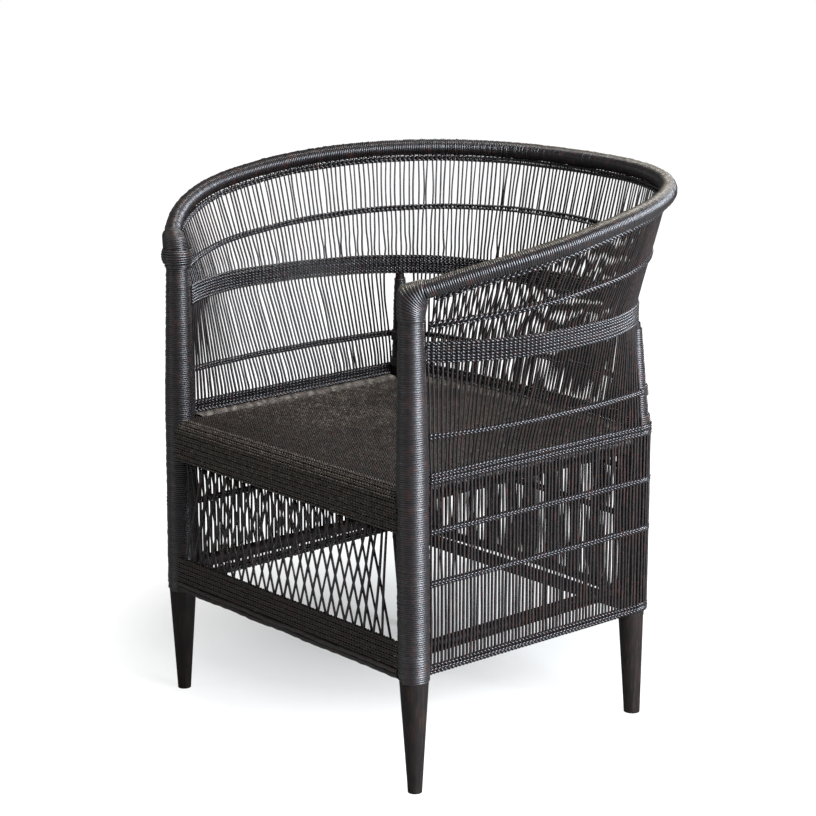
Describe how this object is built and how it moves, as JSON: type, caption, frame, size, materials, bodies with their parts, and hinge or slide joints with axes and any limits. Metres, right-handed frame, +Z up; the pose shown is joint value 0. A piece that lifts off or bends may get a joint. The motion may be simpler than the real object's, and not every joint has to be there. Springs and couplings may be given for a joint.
{
  "type": "woven cane armchair",
  "caption": "Low tub armchair: tapered wooden posts, a flared wall of upright cane stakes held by twined rows, a bound top rail, a woven cane seat and a lattice front.",
  "frame": {"origin": "on the floor under the middle of the chair's bounding box", "axes": "+Z up, the chair faces -Y, +X to the sitter's left as they sit, X = 0 is the plane of symmetry"},
  "size_m": [0.7652, 0.5685, 0.7807],
  "materials": {
    "stained_wood": "dark stain, satin",
    "binding_cane": "split cane, dark stain, gloss lacquer",
    "seat_cane": "split cane, worn dark stain, semi-gloss",
    "panel_cane": "split cane, dark stain, satin",
    "stake_cane": "round cane, dark stain, satin",
    "twined_cane": "round cane, dark stain, satin"
  },
  "bodies": {
    "root": {"front_post_left": "stained_wood", "front_post_right": "stained_wood", "rear_post_left": "stained_wood", "rear_post_right": "stained_wood", "top_rail": "stained_wood", "seat_rail_front": "stained_wood", "seat_rail_rear": "stained_wood", "seat_rail_left": "stained_wood", "seat_rail_right": "stained_wood", "front_stretcher": "stained_wood", "rear_stretcher": "stained_wood", "side_stretcher_left": "stained_wood", "side_stretcher_right": "stained_wood", "front_post_binding_left": "binding_cane", "front_post_binding_right": "binding_cane", "rear_post_binding_left": "binding_cane", "rear_post_binding_right": "binding_cane", "top_rail_binding": "binding_cane", "rail_lashing_left": "binding_cane", "rail_lashing_right": "binding_cane", "seat_weave": "seat_cane", "seat_edge_left": "seat_cane", "seat_edge_right": "seat_cane", "seat_edge_rear": "seat_cane", "front_apron": "panel_cane", "front_lower_panel": "panel_cane", "lattice_front_canes": "stake_cane", "lattice_rear_canes": "stake_cane", "skirt_stakes_left": "stake_cane", "skirt_stakes_right": "stake_cane", "skirt_stakes_back": "stake_cane", "wall_stakes_left": "stake_cane", "wall_stakes_right": "stake_cane", "wall_stakes_back": "stake_cane", "rail_twine": "twined_cane", "upper_twine": "twined_cane", "waist_band": "twined_cane", "arm_twine_left": "twined_cane", "arm_twine_right": "twined_cane", "arm_twine_back": "twined_cane", "seat_twine": "twined_cane", "upper_skirt_twine": "twined_cane", "lower_skirt_twine": "twined_cane", "border_twine": "twined_cane"}
  },
  "joints": []
}
